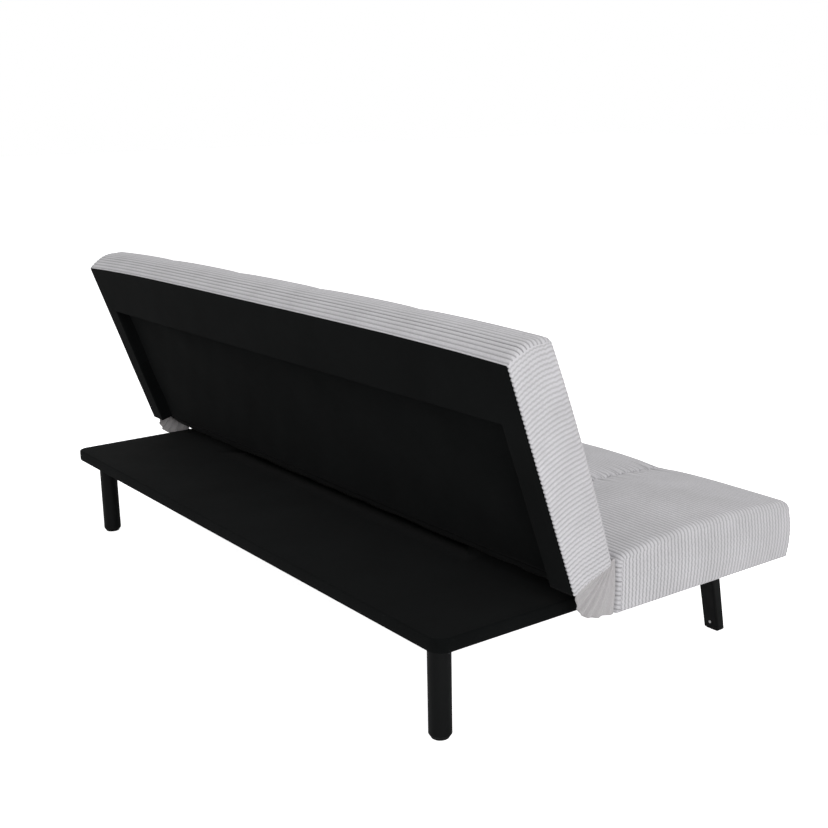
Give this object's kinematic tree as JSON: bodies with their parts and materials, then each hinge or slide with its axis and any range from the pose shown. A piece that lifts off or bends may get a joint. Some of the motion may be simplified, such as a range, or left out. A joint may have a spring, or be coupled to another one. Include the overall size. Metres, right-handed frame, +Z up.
{
  "type": "click clack sofa bed",
  "caption": "Padded sofa with channelled corduroy seat and a tilting backrest that folds down flat over a rear deck to make a bed.",
  "frame": {"origin": "on the floor under the middle of the whole sofa", "axes": "+X along the length, the seat's front faces -Y, +Z up"},
  "size_m": [1.8, 0.8878, 0.7546],
  "materials": {
    "corduroy": "jumbo corduroy, soft light grey pile",
    "corduroy_lining": "grey cloth, pleated at the fold",
    "black_cloth": "matte nonwoven cloth",
    "foam": "open-cell foam",
    "webbing": "woven elastic webbing",
    "pine": "planed softwood",
    "plywood": "plain plywood",
    "leg_black": "black satin lacquer",
    "glide": "black nylon",
    "hinge_steel": "black powder coat",
    "spring_steel": "tempered spring steel",
    "zinc_steel": "zinc plated"
  },
  "bodies": {
    "base": {"base_cross_rails": "pine", "base_rear_rail": "pine", "base_joists": "pine", "deck_panel": "plywood", "deck_cover": "black_cloth", "seat_end_rail_left": "pine", "seat_end_rail_right": "pine", "seat_front_rail": "pine", "seat_rear_rail": "pine", "seat_spacer_rails": "pine", "seat_webbing": "webbing", "seat_cover": "corduroy", "seat_foam": "foam", "seat_dust_cloth": "black_cloth", "rear_leg_left": "leg_black", "rear_leg_right": "leg_black", "rear_leg_studs": "zinc_steel", "rear_leg_glides": "glide", "front_leg_left": "leg_black", "front_leg_right": "leg_black", "front_leg_plates": "hinge_steel", "front_leg_screws": "zinc_steel", "front_leg_glides": "glide", "front_leg_foot_pins": "zinc_steel", "hinge_seat_plate_left": "hinge_steel", "hinge_seat_plate_right": "hinge_steel", "hinge_pin_left": "zinc_steel", "hinge_pin_right": "zinc_steel", "pawl_pin_left": "zinc_steel", "pawl_pin_right": "zinc_steel", "pawl_spring_left": "spring_steel", "pawl_spring_right": "spring_steel", "hinge_seat_screws": "zinc_steel", "fold_gusset_left": "corduroy_lining", "fold_gusset_right": "corduroy_lining", "fold_flap": "black_cloth"},
    "backrest": {"back_stile_left": "pine", "back_stile_right": "pine", "back_top_rail": "pine", "back_panel": "plywood", "back_side_member_left": "pine", "back_side_member_right": "pine", "back_inner_rails": "pine", "back_struts": "pine", "back_webbing": "webbing", "back_cover": "corduroy", "back_foam": "foam", "back_rear_cloth": "black_cloth", "hinge_back_plate_left": "hinge_steel", "hinge_back_plate_right": "hinge_steel", "hinge_back_screws": "zinc_steel"},
    "pawl_left": {"pawl_left": "hinge_steel"},
    "pawl_right": {"pawl_right": "hinge_steel"}
  },
  "joints": [
    {"name": "backrest_fold", "type": "hinge", "parent": "base", "child": "backrest", "pos_m": [0, 0.1066, 0.3186], "axis": [-1, 0, 0], "range_deg": [-8, 70.5], "deforming": ["fold_gusset_left", "fold_gusset_right", "fold_flap"]},
    {"name": "pawl_left_turn", "type": "hinge", "parent": "base", "child": "pawl_left", "pos_m": [-0.848, 0.06569, 0.2939], "axis": [1, 0, 0], "range_deg": [0, 12]},
    {"name": "pawl_right_turn", "type": "hinge", "parent": "base", "child": "pawl_right", "pos_m": [0.848, 0.06569, 0.2939], "axis": [1, 0, 0], "range_deg": [0, 12]}
  ]
}
